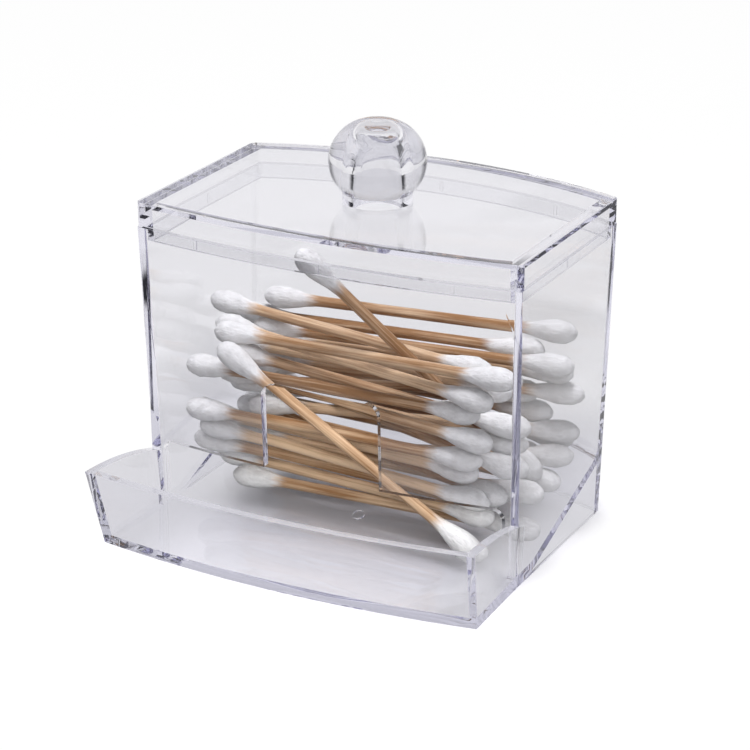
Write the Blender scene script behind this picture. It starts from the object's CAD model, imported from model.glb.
import math, random
import bpy
from mathutils import Matrix, Vector


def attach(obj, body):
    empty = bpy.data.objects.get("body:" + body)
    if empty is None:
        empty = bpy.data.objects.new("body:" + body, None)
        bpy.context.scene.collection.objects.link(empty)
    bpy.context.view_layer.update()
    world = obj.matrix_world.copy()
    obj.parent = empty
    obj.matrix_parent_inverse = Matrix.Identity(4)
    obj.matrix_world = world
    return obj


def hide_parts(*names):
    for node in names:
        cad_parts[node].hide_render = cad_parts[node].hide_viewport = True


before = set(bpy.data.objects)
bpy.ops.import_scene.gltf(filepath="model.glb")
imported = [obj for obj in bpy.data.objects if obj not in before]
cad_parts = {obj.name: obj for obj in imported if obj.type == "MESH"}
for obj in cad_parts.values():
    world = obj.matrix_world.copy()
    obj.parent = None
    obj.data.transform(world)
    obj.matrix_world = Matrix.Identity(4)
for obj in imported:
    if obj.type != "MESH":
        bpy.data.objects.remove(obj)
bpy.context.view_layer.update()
print("frame loaded:", len(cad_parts), "nodes")

clearBounces = 128  # light runs far inside clear walls
scene = bpy.context.scene
scene.view_settings.view_transform = "Standard"
scene.cycles.max_bounces = clearBounces
scene.cycles.glossy_bounces = clearBounces
scene.cycles.transmission_bounces = clearBounces


# Shader maths: a socket that can be added, scaled, compared and fed on
class Sock:
    def __init__(self, tree, socket=None):
        self.tree, self.socket = tree, socket

    def math(self, operation, a, b=0.0):
        return self.node("ShaderNodeMath", {"operation": operation}, {0: a, 1: b})

    def __add__(self, other):
        return self.math("ADD", self, other)

    def __radd__(self, other):
        return self.math("ADD", other, self)

    def __sub__(self, other):
        return self.math("SUBTRACT", self, other)

    def __rsub__(self, other):
        return self.math("SUBTRACT", other, self)

    def __mul__(self, other):
        return self.math("MULTIPLY", self, other)

    def __rmul__(self, other):
        return self.math("MULTIPLY", other, self)

    def __abs__(self):
        return self.math("ABSOLUTE", self)

    def atLeast(self, other):
        return self.math("MAXIMUM", self, other)

    def atMost(self, other):
        return self.math("MINIMUM", self, other)

    # zero up to low, one from high on, and a soft step between them
    def ease(self, low, high):
        settings = {"interpolation_type": "SMOOTHSTEP"}
        return self.node("ShaderNodeMapRange", settings, {0: self, 1: low, 2: high})

    # another output of the same node
    def also(self, name):
        return Sock(self.tree, self.socket.node.outputs[name])

    # any other node: its type, its settings, the values or links of its sockets, and the output wanted
    def node(self, kind, settings=None, inputs=None, out=0):
        made = self.tree.nodes.new(kind)
        for key, value in (settings or {}).items():
            if key == "stops":
                ramp = made.color_ramp
                while len(ramp.elements) < len(value):
                    ramp.elements.new(1.0)
                for stop, (place, colour) in zip(ramp.elements, value):
                    stop.position = place
                    stop.color = (*colour, 1.0)
            else:
                setattr(made, key, value)
        for key, value in (inputs or {}).items():
            if isinstance(value, Sock):
                self.tree.links.new(value.socket, made.inputs[key])
            else:
                made.inputs[key].default_value = value
        return Sock(self.tree, made.outputs[out] if made.outputs else None)


def newMaterial(name):
    material = bpy.data.materials.new(name)
    material.use_nodes = True
    material.node_tree.nodes.clear()
    return material, Sock(material.node_tree)


def mixShaders(start, factor, first, second):
    return start.node("ShaderNodeMixShader", None, {0: factor, 1: first, 2: second})


def noise(start, place, scale, detail, roughness=0.5):
    return start.node("ShaderNodeTexNoise", None, {
        "Vector": place, "Scale": scale, "Detail": detail, "Roughness": roughness})


def drawnOut(start, place, share):
    return start.node("ShaderNodeMapping", None, {"Vector": place, "Scale": (1.0, 1.0, share)})


def bump(start, strength, depth, height):
    return start.node("ShaderNodeBump", None, {"Strength": strength, "Distance": depth, "Height": height})


# one for rays of any of the kinds named, zero for others
def raysOf(start, *kinds):
    path = start.node("ShaderNodeLightPath", None, None, kinds[0])
    total = path
    for kind in kinds[1:]:
        total = total + path.also(kind)
    return total.atMost(1.0)


def deselectAll():
    if bpy.context.object and bpy.context.object.mode != "OBJECT":
        bpy.ops.object.mode_set(mode="OBJECT")
    bpy.ops.object.select_all(action="DESELECT")


def makeActive(piece):
    deselectAll()
    piece.select_set(True)
    bpy.context.view_layer.objects.active = piece


# Clear moulded plastic, faintly violet in its depth
clearLook = {
    "tint": (0.93, 0.93, 0.945, 1.0),
    "ior": 1.5,
    "roughness": 0.0,
    "absorb": (0.56, 0.55, 0.76, 1.0),
    "density": 6.5,
    "shadow": (0.84, 0.84, 0.855, 1.0),
}


def clearPlastic(name, look):
    material, start = newMaterial(name)
    clear = start.node("ShaderNodeBsdfPrincipled", None, {
        "Base Color": look["tint"], "Roughness": look["roughness"], "IOR": look["ior"],
        "Transmission Weight": 1.0})
    through = start.node("ShaderNodeBsdfTransparent", None, {"Color": look["shadow"]})
    isShadow = start.node("ShaderNodeLightPath", None, None, "Is Shadow Ray")
    depth = start.node("ShaderNodeVolumeAbsorption", None, {
        "Color": look["absorb"], "Density": look["density"]})
    start.node("ShaderNodeOutputMaterial", None, {
        "Surface": mixShaders(start, isShadow, clear, through), "Volume": depth})
    return material


# Wood of the sticks, with its grain along them
woodLook = {
    "pale": (0.63, 0.45, 0.295), "dark": (0.27, 0.142, 0.065), "darkAt": 0.36, "paleAt": 0.60,
    "grainScale": 1500.0, "grainStretch": 0.03, "grainDetail": 5.0, "grainRoughness": 0.62,
    "blotchScale": 60.0, "blotchDetail": 2.0, "grainShare": 0.75, "blotchShare": 0.25, "toneSpread": 0.22,
    "roughness": 0.42, "gloss": 0.2, "bump": 0.3, "bumpDepth": 0.0002,
}
middleTone = 0.5  # noise and the swabs' own tones run from 0 to 1


def woodShader(start, place, look):
    tone = start.node("ShaderNodeAttribute", {"attribute_name": "swabTone"}, None, "Fac")
    lengthwise = drawnOut(start, place, look["grainStretch"])
    grain = noise(start, lengthwise, look["grainScale"], look["grainDetail"], look["grainRoughness"])
    blotch = noise(start, place, look["blotchScale"], look["blotchDetail"])
    shift = (tone - middleTone) * look["toneSpread"]
    woodTone = grain * look["grainShare"] + blotch * look["blotchShare"] + shift
    stops = [(look["darkAt"], look["dark"]), (look["paleAt"], look["pale"])]
    return start.node("ShaderNodeBsdfPrincipled", None, {
        "Base Color": start.node("ShaderNodeValToRGB", {"stops": stops}, {"Fac": woodTone}),
        "Roughness": look["roughness"], "Specular IOR Level": look["gloss"],
        "Normal": bump(start, look["bump"], look["bumpDepth"], grain)})


# Cotton wound onto the ends, thinning out raggedly onto the wood
cottonLook = {
    "white": (0.745, 0.74, 0.735), "shade": (0.60, 0.59, 0.585), "shadeAt": 0.4, "whiteAt": 0.68,
    "fibreScale": 1500.0, "fibreStretch": 0.35, "fibreDetail": 4.0, "fibreRoughness": 0.7, "fibreShare": 0.6,
    "clumpScale": 420.0, "clumpDetail": 3.0, "clumpShare": 0.6,
    "roughness": 0.95, "gloss": 0.15, "sheen": 0.3, "bump": 1.0, "bumpDepth": 0.0006,
    "thinning": (0.0095, 0.0138), "ragged": 0.004, "tongueStretch": 0.12, "tongueDetail": 3.0,
}


def cottonShader(start, place, look):
    combed = drawnOut(start, place, look["fibreStretch"])
    fibre = noise(start, combed, look["fibreScale"], look["fibreDetail"], look["fibreRoughness"])
    clump = noise(start, place, look["clumpScale"], look["clumpDetail"])
    height = fibre * look["fibreShare"] + clump * look["clumpShare"]
    stops = [(look["shadeAt"], look["shade"]), (look["whiteAt"], look["white"])]
    return start.node("ShaderNodeBsdfPrincipled", None, {
        "Base Color": start.node("ShaderNodeValToRGB", {"stops": stops}, {"Fac": height}),
        "Roughness": look["roughness"], "Specular IOR Level": look["gloss"], "Sheen Weight": look["sheen"],
        "Normal": bump(start, look["bump"], look["bumpDepth"], height)})


# one where the wood is bare, zero under the cotton
def bareWood(start, place, look):
    fromTip = start.node("ShaderNodeAttribute", {"attribute_name": "fromTip"}, None, "Fac")
    drawn = drawnOut(start, place, look["tongueStretch"])
    tongues = noise(start, drawn, look["fibreScale"], look["tongueDetail"])
    return (fromTip + (tongues - middleTone) * look["ragged"]).ease(*look["thinning"])


def swabMaterial(wood, cotton):
    material, start = newMaterial("woodAndCotton")
    place = start.node("ShaderNodeAttribute", {"attribute_name": "alongSwab"}, None, "Vector")
    bare = bareWood(start, place, cotton)
    dressed = mixShaders(start, bare, cottonShader(start, place, cotton), woodShader(start, place, wood))
    start.node("ShaderNodeOutputMaterial", None, {"Surface": dressed})
    return material


clearBoxPlastic = clearPlastic("clearBoxPlastic", clearLook)
clearLidPlastic = clearPlastic("clearLidPlastic", clearLook)
woodAndCotton = swabMaterial(woodLook, cottonLook)
print("materials made")


# The two mouldings: a copy of the solid's mesh, merged, with its corners rounded and its edges broken
mouldingShape = {
    "mergeWithin": 0.000002, "flatWithin": 0.2, "edge": 0.00022, "segments": 3,
    "sharpAngle": 28.0, "smoothAngle": 35.0, "cornerSegments": 6, "uprightFrom": 0.8, "foldAngle": 50.0,
}
# Upright corners: the fold, the edge's length and height, its least distance from the middle, and the radius
boxCorners = {
    "inside": {
        "hollow": True, "lengths": (0.008, 1.0), "heights": (0.0, 1.0), "beyond": 0.030, "radius": 0.0010},
    "outside": {
        "hollow": False, "lengths": (0.03, 1.0), "heights": (0.0, 1.0), "beyond": 0.030, "radius": 0.0022},
    "tray": {
        "hollow": False, "lengths": (0.008, 0.03), "heights": (0.0, 0.02), "beyond": 0.030, "radius": 0.0016},
}
lidCorners = {
    "lip": {
        "hollow": False, "lengths": (0.002, 0.007), "heights": (0.060, 0.0668), "beyond": 0.038,
        "radius": 0.0010},
    "rim": {
        "hollow": False, "lengths": (0.001, 0.007), "heights": (0.0668, 0.0720), "beyond": 0.038,
        "radius": 0.0012},
}


def clearSelection(piece, kind):
    makeActive(piece)
    bpy.ops.object.mode_set(mode="EDIT")
    bpy.ops.mesh.select_mode(type=kind)
    bpy.ops.mesh.select_all(action="DESELECT")
    bpy.ops.object.mode_set(mode="OBJECT")


# rounds the upright edges where two walls meet, those folded inwards or those folded outwards
def roundUprights(piece, corner, shape):
    clearSelection(piece, "EDGE")
    mesh = piece.data
    beside = {}
    for face in mesh.polygons:
        for key in face.edge_keys:
            beside.setdefault(key, []).append(face)
    (shortest, longest), (lowest, highest) = corner["lengths"], corner["heights"]
    rounded = 0
    for edge in mesh.edges:
        low, high = (mesh.vertices[i].co for i in edge.vertices)
        run, middle, pair = high - low, (high + low) / 2, beside.get(edge.key, [])
        if len(pair) != 2 or abs(run.normalized().z) < shape["uprightFrom"]:
            continue
        if not shortest < run.length < longest or not lowest < middle.z < highest:
            continue
        if abs(middle.x) < corner["beyond"]:
            continue
        foldedIn = (pair[1].center - pair[0].center).dot(pair[0].normal) > 0
        fold = pair[0].normal.angle(pair[1].normal)
        if foldedIn == corner["hollow"] and fold > math.radians(shape["foldAngle"]):
            edge.select = True
            rounded += 1
    bpy.ops.object.mode_set(mode="EDIT")
    if rounded:
        bpy.ops.mesh.bevel(
            offset=corner["radius"], segments=shape["cornerSegments"], affect="EDGES", clamp_overlap=True)
    bpy.ops.object.mode_set(mode="OBJECT")
    print(piece.name, "upright corners rounded:", rounded)


# The knob's hollow core, widened and domed
coreShape = {
    "reach": 0.0039, "crownBand": 0.0002, "belowCrown": 0.003, "sameHeight": 0.00001,
    "footScale": 1.46, "topScale": 1.64, "rise": 0.0030, "dome": 0.0036, "domeSegments": 6,
}


def domedCore(piece, shape):
    points = piece.data.vertices
    crown = max(v.co.z for v in points)
    nearCrown = [v.co.y for v in points if v.co.z > crown - shape["crownBand"]]
    axis = Vector((0.0, sum(nearCrown) / len(nearCrown)))
    inside = [v.index for v in points
              if (v.co.xy - axis).length < shape["reach"] and v.co.z < crown - shape["belowCrown"]]
    top = max(points[i].co.z for i in inside)
    foot = min(points[i].co.z for i in inside)
    heights = sorted({round(points[i].co.z, 5) for i in inside}, reverse=True)
    # each ring is widened and raised, from the top down, and the raised top ring is rounded last
    for height in heights + [top + shape["rise"]]:
        clearSelection(piece, "VERT")
        for i in inside:
            points[i].select = abs(points[i].co.z - height) < shape["sameHeight"]
        bpy.ops.object.mode_set(mode="EDIT")
        if height > top + shape["sameHeight"]:
            bpy.ops.mesh.select_mode(type="EDGE")
            bpy.ops.mesh.bevel(
                offset=shape["dome"], segments=shape["domeSegments"], affect="EDGES", clamp_overlap=True)
        else:
            share = (height - foot) / (top - foot)
            scale = shape["footScale"] + (shape["topScale"] - shape["footScale"]) * share
            bpy.ops.transform.resize(value=(scale, scale, 1.0), center_override=(axis.x, axis.y, height))
            bpy.ops.transform.translate(value=(0, 0, shape["rise"] * share))
        bpy.ops.object.mode_set(mode="OBJECT")
    print("core of the knob domed:", len(inside), "points at", len(heights), "heights")


def moulding(node, name, material, body, corners, shape):
    deselectAll()
    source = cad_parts[node]
    piece = bpy.data.objects.new(name, source.data.copy())
    scene.collection.objects.link(piece)
    piece.data.materials.clear()
    piece.data.materials.append(material)
    makeActive(piece)
    bpy.ops.object.mode_set(mode="EDIT")
    bpy.ops.mesh.select_all(action="SELECT")
    bpy.ops.mesh.remove_doubles(threshold=shape["mergeWithin"])
    bpy.ops.mesh.dissolve_limited(angle_limit=math.radians(shape["flatWithin"]))
    bpy.ops.object.mode_set(mode="OBJECT")
    for corner in corners.values():
        roundUprights(piece, corner, shape)
    if node == "lid":
        domedCore(piece, coreShape)
    bevel = piece.modifiers.new("brokenEdges", "BEVEL")
    bevel.width = shape["edge"]
    bevel.segments = shape["segments"]
    bevel.limit_method = "ANGLE"
    bevel.angle_limit = math.radians(shape["sharpAngle"])
    bpy.ops.object.modifier_apply(modifier=bevel.name)
    bpy.ops.object.shade_smooth_by_angle(angle=math.radians(shape["smoothAngle"]))
    weight = piece.modifiers.new("flatFaces", "WEIGHTED_NORMAL")
    weight.keep_sharp = True
    bpy.ops.object.modifier_apply(modifier=weight.name)
    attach(piece, body)
    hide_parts(node)
    print(name, "made:", len(piece.data.polygons), "faces")


moulding("box", "clearBox", clearBoxPlastic, "holder", boxCorners, mouldingShape)
moulding("lid", "clearLid", clearLidPlastic, "lid", lidCorners, mouldingShape)


# A swab, modelled standing on the Z axis, in metres, in a few kinds
swabShape = {
    "length": 0.073, "stickRadius": 0.0012, "headRadius": 0.0027, "headLength": 0.014, "noseShare": 0.3,
    "sides": 24, "headRings": 16, "stickRings": 5, "ringCrowding": 1.5, "sameHeight": 0.000001,
    "fluff": 0.00022, "fluffSize": 0.0016, "fluffMiddle": 0.75, "fluffEndShare": 0.92, "fluffFadeShare": 0.3,
    "kinds": 4, "grainShift": (0.02, 0.013, 0.0),
}


def headRadiusAt(u, shape):
    nose = shape["headLength"] * shape["noseShare"]
    if u < nose:
        return shape["headRadius"] * math.sqrt(max(0.0, 1 - (1 - u / nose) ** 2))
    fall = 0.5 + 0.5 * math.cos(math.pi * (u - nose) / (shape["headLength"] - nose))
    return shape["stickRadius"] + (shape["headRadius"] - shape["stickRadius"]) * fall


# height and radius of each ring, from the upper head to the lower
def swabRings(shape):
    half = shape["length"] / 2
    head = []
    for k in range(1, shape["headRings"] + 1):
        u = shape["headLength"] * (k / shape["headRings"]) ** shape["ringCrowding"]
        head.append((half - u, headRadiusAt(u, shape)))
    inner = half - shape["headLength"]
    stick = [(inner - 2 * inner * k / shape["stickRings"], shape["stickRadius"])
             for k in range(1, shape["stickRings"])]
    return head + stick + [(-z, r) for z, r in reversed(head)]


# draws the selected ring out to a point
def closeTip(rise):
    bpy.ops.mesh.extrude_region_move(TRANSFORM_OT_translate={"value": (0, 0, rise)})
    bpy.ops.mesh.merge(type="CENTER")


# cotton is uneven: the heads are pushed in and out a little
def fluffHeads(piece, kind, shape):
    half, head = shape["length"] / 2, shape["headLength"]
    group = piece.vertex_groups.new(name="cotton")
    for vertex in piece.data.vertices:
        u = half - abs(vertex.co.z)
        weight = (head * shape["fluffEndShare"] - u) / (head * shape["fluffFadeShare"])
        group.add([vertex.index], max(0.0, min(1.0, weight)), "REPLACE")
    cloud = bpy.data.textures.new("fluff%d" % kind, "CLOUDS")
    cloud.noise_scale = shape["fluffSize"]
    push = piece.modifiers.new("fluff", "DISPLACE")
    push.texture = cloud
    push.texture_coords = "LOCAL"
    push.vertex_group = group.name
    push.strength = shape["fluff"] * 2
    push.mid_level = shape["fluffMiddle"]
    bpy.ops.object.modifier_apply(modifier=push.name)


def swabMaster(kind, shape):
    deselectAll()
    half = shape["length"] / 2
    rings = swabRings(shape)
    topRing, topRadius = rings[0]
    bpy.ops.mesh.primitive_circle_add(
        vertices=shape["sides"], radius=topRadius, fill_type="NOTHING", location=(0, 0, topRing))
    piece = bpy.context.object
    piece.name = "swabMaster%d" % kind
    bpy.ops.object.transform_apply(location=True, rotation=False, scale=False)
    bpy.ops.object.mode_set(mode="EDIT")
    bpy.ops.mesh.select_all(action="SELECT")
    for (z0, r0), (z1, r1) in zip(rings, rings[1:]):
        bpy.ops.mesh.extrude_region_move(TRANSFORM_OT_translate={"value": (0, 0, z1 - z0)})
        bpy.ops.transform.resize(value=(r1 / r0, r1 / r0, 1.0), center_override=(0, 0, z1))
    closeTip(-half - rings[-1][0])
    bpy.ops.object.mode_set(mode="OBJECT")
    for vertex in piece.data.vertices:
        vertex.select = abs(vertex.co.z - topRing) < shape["sameHeight"]
    bpy.ops.object.mode_set(mode="EDIT")
    bpy.ops.mesh.select_mode(type="VERT")
    closeTip(half - topRing)
    bpy.ops.mesh.select_all(action="SELECT")
    bpy.ops.mesh.normals_make_consistent(inside=False)
    bpy.ops.object.mode_set(mode="OBJECT")
    fluffHeads(piece, kind, shape)
    piece.data.materials.append(woodAndCotton)
    for name, kindOfValue in (("alongSwab", "FLOAT_VECTOR"), ("fromTip", "FLOAT"), ("swabTone", "FLOAT")):
        piece.data.attributes.new(name, kindOfValue, "POINT")
    along, tips = piece.data.attributes["alongSwab"], piece.data.attributes["fromTip"]
    for vertex in piece.data.vertices:
        along.data[vertex.index].vector = vertex.co + Vector(shape["grainShift"]) * kind
        tips.data[vertex.index].value = half - abs(vertex.co.z)
    bpy.ops.object.shade_smooth()
    return piece


masters = [swabMaster(k, swabShape) for k in range(swabShape["kinds"])]
print("swabs modelled:", len(masters), "kinds")


# the two tips of a swab's solid, the left one first
def axisOf(node):
    points = [v.co.copy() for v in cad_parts[node].data.vertices]
    middle = sum(points, Vector()) / len(points)
    tipA = max(points, key=lambda p: (p - middle).length)
    tipB = max(points, key=lambda p: (p - tipA).length)
    return (tipA, tipB) if tipA.x < tipB.x else (tipB, tipA)


# Each swab takes the place of its solid, either end first, rolled about its axis and with a tone of its own
swabPile = {"seed": 4, "flipShare": 0.5}
swabNodes = sorted(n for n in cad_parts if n.startswith("swab_"))
dice = random.Random(swabPile["seed"])
for count, node in enumerate(swabNodes):
    tipA, tipB = axisOf(node)
    way = (tipB - tipA).normalized()
    if dice.random() >= swabPile["flipShare"]:
        way = -way
    turn = Vector((0, 0, 1)).rotation_difference(way).to_matrix().to_4x4()
    roll = Matrix.Rotation(dice.uniform(0, 2 * math.pi), 4, "Z")
    mesh = masters[count % len(masters)].data.copy()
    mesh.transform(Matrix.Translation((tipA + tipB) / 2) @ turn @ roll)
    tone = dice.random()
    for item in mesh.attributes["swabTone"].data:
        item.value = tone
    piece = bpy.data.objects.new("cottonSwab%02d" % (count + 1), mesh)
    scene.collection.objects.link(piece)
    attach(piece, "holder")
    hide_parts(node)
for master in masters:
    bpy.data.objects.remove(master)
print("swabs laid:", len(swabNodes))


# Colours that the floor and the room around it share
studioColours = {
    "white": (1.0, 1.0, 1.0, 1.0), "room": (0.03, 0.03, 0.035, 1.0),
    "backdrop": (0.80, 0.795, 0.82, 1.0), "ceiling": (0.70, 0.70, 0.72, 1.0), "ambient": (0.97, 0.98, 1.0, 1.0),
}

# The floor: matte where the part stands, white around it, and a pale sweep when seen through the clear walls
floorLook = {
    "size": 3.0, "height": -0.0002, "middle": (0.0, 0.0), "colour": (0.64, 0.635, 0.64, 1.0),
    "lift": 0.95, "footprint": (0.044, 0.040), "footprintFade": 0.008,
    "sweep": (1.0, 0.995, 1.0), "beside": (0.74, 0.735, 0.765), "sweepFrom": (0.02, 0.06),
    "sweepLift": 0.9, "edgeLift": 0.85, "underPile": (0.022, 0.030), "throughFade": 0.018,
    "mirrorFrom": (0.05, 0.07), "mirrorDepth": 0.95, "rightFrom": (0.075, 0.105), "rightDepth": 0.7,
    "throughFrom": (0.07, 0.09), "throughTo": (0.15, 0.17), "throughDepth": 0.95,
    "cardMiddle": (0.1175, -0.01), "cardHalf": (0.0525, 0.15), "cardFade": 0.012,
}


# how far a place lies outside a rectangle, below zero inside it
def outsideOf(across, along, middle, half):
    return (abs(across - middle[0]) - half[0]).atLeast(abs(along - middle[1]) - half[1])


def paleFloor(look, colours):
    material, start = newMaterial("paleFloor")
    place = start.node("ShaderNodeTexCoord", None, None, "Object")
    across = start.node("ShaderNodeSeparateXYZ", None, {0: place}, "X")
    along = across.also("Y")
    nearness = -1 * along
    fromFootprint = outsideOf(across, along, look["middle"], look["footprint"])
    fromPile = outsideOf(across, along, look["middle"], look["underPile"])
    fromCard = outsideOf(across, along, look["cardMiddle"], look["cardHalf"])

    offWalls = raysOf(start, "Is Glossy Ray", "Is Transmission Ray")
    inMirror = raysOf(start, "Is Glossy Ray") * raysOf(start, "Is Reflection Ray")
    # light that was turned back inside an edge or corner before it came through
    turnedInside = raysOf(start, "Glossy Depth") * raysOf(start, "Is Transmission Ray")

    matte = start.node("ShaderNodeBsdfDiffuse", None, {"Color": look["colour"]})
    white = start.node("ShaderNodeEmission", None, {"Color": colours["white"], "Strength": 1.0})
    lift = fromFootprint.ease(0.0, look["footprintFade"]) * look["lift"]
    straight = mixShaders(start, raysOf(start, "Is Camera Ray") * lift, matte, white)

    stops = [(0.0, look["beside"]), (1.0, look["sweep"])]
    sweepColour = start.node("ShaderNodeValToRGB", {"stops": stops}, {
        "Fac": fromFootprint.ease(*look["sweepFrom"])})
    sweep = start.node("ShaderNodeEmission", None, {"Color": sweepColour, "Strength": 1.0})
    clearOfShade = fromPile.ease(0.0, look["throughFade"]) * look["sweepLift"]
    paler = (offWalls * clearOfShade).atLeast(turnedInside * look["edgeLift"])
    table = mixShaders(start, paler, straight, sweep)

    # the dark room that the walls mirror and the corners bend into view, in front and on the right
    room = start.node("ShaderNodeEmission", None, {"Color": colours["room"], "Strength": 1.0})
    inFront = nearness.ease(*look["mirrorFrom"]) * look["mirrorDepth"]
    onRight = across.ease(*look["rightFrom"]) * look["rightDepth"]
    band = (nearness.ease(*look["throughFrom"]) - nearness.ease(*look["throughTo"])) * look["throughDepth"]
    card = turnedInside * (1 - fromCard.ease(0.0, look["cardFade"]))
    unlit = (inMirror * inFront.atLeast(onRight) + turnedInside * band).atLeast(card)
    start.node("ShaderNodeOutputMaterial", None, {"Surface": mixShaders(start, unlit, table, room)})
    return material


deselectAll()
bpy.ops.mesh.primitive_plane_add(size=floorLook["size"], location=(0, 0, floorLook["height"]))
floor = bpy.context.object
floor.name = "studioFloor"
bpy.ops.object.transform_apply(location=True)
floor.data.materials.append(paleFloor(floorLook, studioColours))

# The room: white to the camera; off and through the walls a pale backdrop, a ceiling and a dark side
roomLook = {"ambient": 0.17, "ceilingFrom": (0.33, 0.45), "away": 27.4, "backdropFrom": (0.35, 0.65)}


def studioWorld(look, colours):
    world = bpy.data.worlds.new("whiteStudio")
    world.use_nodes = True
    world.node_tree.nodes.clear()
    start = Sock(world.node_tree)
    light = {name: start.node("ShaderNodeBackground", None, {
        "Color": colour, "Strength": look["ambient"] if name == "ambient" else 1.0})
        for name, colour in colours.items()}
    direction = start.node("ShaderNodeTexCoord", None, None, "Generated")
    height = start.node("ShaderNodeSeparateXYZ", None, {0: direction}, "Z")
    turned = start.node("ShaderNodeMapping", {"vector_type": "TEXTURE"}, {
        "Vector": direction, "Rotation": (0.0, 0.0, math.radians(look["away"]))})
    ahead = start.node("ShaderNodeSeparateXYZ", None, {0: turned}, "Y")
    around = mixShaders(start, ahead.ease(*look["backdropFrom"]), light["room"], light["backdrop"])
    bounced = mixShaders(start, height.ease(*look["ceilingFrom"]), around, light["ceiling"])
    offWalls = raysOf(start, "Is Glossy Ray", "Is Transmission Ray")
    unseen = mixShaders(start, offWalls, light["ambient"], bounced)
    mixed = mixShaders(start, raysOf(start, "Is Camera Ray"), unseen, light["white"])
    start.node("ShaderNodeOutputWorld", None, {"Surface": mixed})
    return world


scene.world = studioWorld(roomLook, studioColours)

# Soft lamps, which light the part and don't show in the plastic
lamps = {
    "keyLamp": {"place": (-0.03, -0.04, 0.80), "size": 0.34, "power": 11.4},
    "fillLamp": {"place": (0.45, -0.65, 0.45), "size": 0.6, "power": 7.5},
}
lampTarget = (0.0, 0.0, 0.04)


def softLamp(name, look, target):
    data = bpy.data.lights.new(name, "AREA")
    data.shape = "SQUARE"
    data.size = look["size"]
    data.energy = look["power"]
    lamp = bpy.data.objects.new(name, data)
    scene.collection.objects.link(lamp)
    lamp.location = look["place"]
    lamp.rotation_euler = (Vector(target) - Vector(look["place"])).to_track_quat("-Z", "Y").to_euler()
    lamp.visible_glossy = False
    lamp.visible_transmission = False


for name, look in lamps.items():
    softLamp(name, look, lampTarget)

# The photo's camera: angles in degrees, then metres, then millimetres of lens and sensor
cameraFit = {
    "azimuth": 27.40, "elevation": 21.69, "distance": 0.56937, "right": -0.00055, "up": 0.02981,
    "middle": 0.0086, "clipStart": 0.01, "lens": 122.54, "sensor": 36.0,
}


def photoCamera(fit):
    azimuth, elevation = math.radians(fit["azimuth"]), math.radians(fit["elevation"])
    level = math.cos(elevation)
    back = Vector((math.sin(azimuth) * level, -math.cos(azimuth) * level, math.sin(elevation)))
    right = Vector((math.cos(azimuth), math.sin(azimuth), 0))
    up = back.cross(right)
    data = bpy.data.cameras.new("photoCamera")
    data.sensor_width = fit["sensor"]
    data.lens = fit["lens"]
    data.clip_start = fit["clipStart"]
    camera = bpy.data.objects.new("photoCamera", data)
    scene.collection.objects.link(camera)
    aim = Vector((0, fit["middle"], 0)) + right * fit["right"] + up * fit["up"]
    camera.location = aim + back * fit["distance"]
    camera.rotation_euler = Matrix((right, up, back)).transposed().to_euler()
    return camera


scene.camera = photoCamera(cameraFit)
print("studio set")
